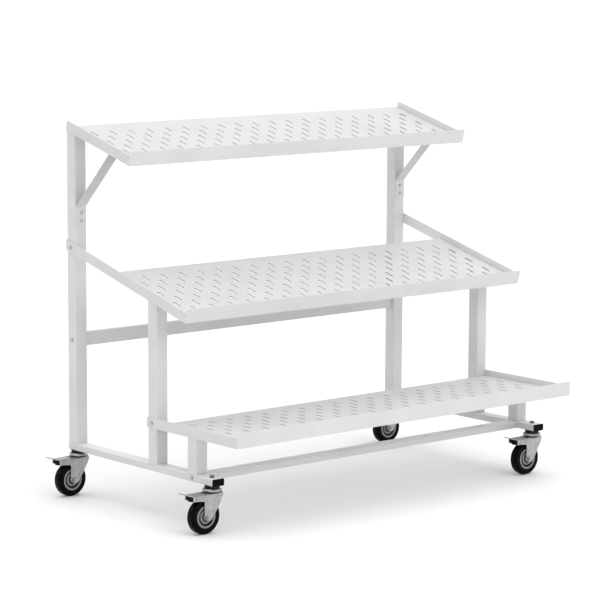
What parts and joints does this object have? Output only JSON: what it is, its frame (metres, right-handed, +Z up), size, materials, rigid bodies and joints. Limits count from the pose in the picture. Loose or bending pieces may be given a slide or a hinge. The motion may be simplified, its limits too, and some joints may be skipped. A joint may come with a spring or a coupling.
{
  "type": "produce display cart",
  "caption": "White steel display cart with stepped perforated trays on a tube frame, rolling on swivel casters with foot brakes.",
  "frame": {"origin": "on the floor under the middle of the bounding box", "axes": "+X along the width to the right seen from the front, +Y from front to rear, +Z up"},
  "size_m": [1.3888, 0.797, 1.104],
  "materials": {
    "white_powder_coat": "satin white powder coat",
    "zinc_fastener": "bright zinc plate",
    "zinc_caster": "zinc-plated pressed steel",
    "bearing_steel": "polished steel",
    "black_tyre_rubber": "smooth black rubber",
    "grey_wheel_plastic": "moulded grey plastic",
    "black_plastic": "moulded black plastic"
  },
  "bodies": {
    "frame": {"bottom_tray_lip": "white_powder_coat", "bottom_tray_panel": "white_powder_coat", "caster_stems": "zinc_caster", "crossbar_end_plugs": "zinc_fastener", "frame_bolts": "zinc_fastener", "front_crossbar": "white_powder_coat", "front_left_swivel_head": "zinc_caster", "front_right_swivel_head": "zinc_caster", "left_base_rail": "white_powder_coat", "left_bottom_arm": "white_powder_coat", "left_front_post": "white_powder_coat", "left_middle_arm": "white_powder_coat", "left_middle_post": "white_powder_coat", "left_rear_post": "white_powder_coat", "left_strut": "white_powder_coat", "left_top_arm": "white_powder_coat", "middle_tray_lip": "white_powder_coat", "middle_tray_panel": "white_powder_coat", "rail_end_caps": "black_plastic", "rear_crossbar": "white_powder_coat", "rear_left_swivel_head": "zinc_caster", "rear_right_swivel_head": "zinc_caster", "right_base_rail": "white_powder_coat", "right_bottom_arm": "white_powder_coat", "right_front_post": "white_powder_coat", "right_middle_arm": "white_powder_coat", "right_middle_post": "white_powder_coat", "right_rear_post": "white_powder_coat", "right_strut": "white_powder_coat", "right_top_arm": "white_powder_coat", "stem_nuts": "zinc_fastener", "strut_screws": "zinc_fastener", "swivel_balls": "bearing_steel", "top_tray_lip": "white_powder_coat", "top_tray_panel": "white_powder_coat"},
    "rear_left_caster_fork": {"rear_left_fork": "zinc_caster", "rear_left_axle": "zinc_caster"},
    "rear_left_wheel": {"rear_left_wheel_core": "grey_wheel_plastic", "rear_left_tyre": "black_tyre_rubber"},
    "rear_left_brake": {"rear_left_brake_lever": "zinc_caster", "rear_left_brake_pedal": "black_plastic"},
    "rear_right_caster_fork": {"rear_right_fork": "zinc_caster", "rear_right_axle": "zinc_caster"},
    "rear_right_wheel": {"rear_right_wheel_core": "grey_wheel_plastic", "rear_right_tyre": "black_tyre_rubber"},
    "rear_right_brake": {"rear_right_brake_lever": "zinc_caster", "rear_right_brake_pedal": "black_plastic"},
    "front_left_caster_fork": {"front_left_fork": "zinc_caster", "front_left_axle": "zinc_caster"},
    "front_left_wheel": {"front_left_wheel_core": "grey_wheel_plastic", "front_left_tyre": "black_tyre_rubber"},
    "front_left_brake": {"front_left_brake_lever": "zinc_caster", "front_left_brake_pedal": "black_plastic"},
    "front_right_caster_fork": {"front_right_fork": "zinc_caster", "front_right_axle": "zinc_caster"},
    "front_right_wheel": {"front_right_wheel_core": "grey_wheel_plastic", "front_right_tyre": "black_tyre_rubber"},
    "front_right_brake": {"front_right_brake_lever": "zinc_caster", "front_right_brake_pedal": "black_plastic"}
  },
  "joints": [
    {"name": "rear_left_swivel", "type": "hinge", "parent": "frame", "child": "rear_left_caster_fork", "pos_m": [-0.58763, 0.3715, 0.117], "axis": [0, 0, 1], "continuous": true},
    {"name": "rear_left_roll", "type": "hinge", "parent": "rear_left_caster_fork", "child": "rear_left_wheel", "pos_m": [-0.61813, 0.3715, 0.05], "axis": [0, 1, 0], "continuous": true},
    {"name": "rear_left_brake", "type": "hinge", "parent": "rear_left_caster_fork", "child": "rear_left_brake", "pos_m": [-0.62813, 0.3715, 0.1054], "axis": [0, -1, 0], "range_deg": [0, 8]},
    {"name": "rear_right_swivel", "type": "hinge", "parent": "frame", "child": "rear_right_caster_fork", "pos_m": [0.66737, 0.3715, 0.117], "axis": [0, 0, 1], "continuous": true},
    {"name": "rear_right_roll", "type": "hinge", "parent": "rear_right_caster_fork", "child": "rear_right_wheel", "pos_m": [0.63687, 0.3715, 0.05], "axis": [0, 1, 0], "continuous": true},
    {"name": "rear_right_brake", "type": "hinge", "parent": "rear_right_caster_fork", "child": "rear_right_brake", "pos_m": [0.62687, 0.3715, 0.1054], "axis": [0, -1, 0], "range_deg": [0, 8]},
    {"name": "front_left_swivel", "type": "hinge", "parent": "frame", "child": "front_left_caster_fork", "pos_m": [-0.58763, -0.2595, 0.117], "axis": [0, 0, 1], "continuous": true},
    {"name": "front_left_roll", "type": "hinge", "parent": "front_left_caster_fork", "child": "front_left_wheel", "pos_m": [-0.61813, -0.2595, 0.05], "axis": [0, 1, 0], "continuous": true},
    {"name": "front_left_brake", "type": "hinge", "parent": "front_left_caster_fork", "child": "front_left_brake", "pos_m": [-0.62813, -0.2595, 0.1054], "axis": [0, -1, 0], "range_deg": [0, 8]},
    {"name": "front_right_swivel", "type": "hinge", "parent": "frame", "child": "front_right_caster_fork", "pos_m": [0.66737, -0.2595, 0.117], "axis": [0, 0, 1], "continuous": true},
    {"name": "front_right_roll", "type": "hinge", "parent": "front_right_caster_fork", "child": "front_right_wheel", "pos_m": [0.63687, -0.2595, 0.05], "axis": [0, 1, 0], "continuous": true},
    {"name": "front_right_brake", "type": "hinge", "parent": "front_right_caster_fork", "child": "front_right_brake", "pos_m": [0.62687, -0.2595, 0.1054], "axis": [0, -1, 0], "range_deg": [0, 8]}
  ]
}
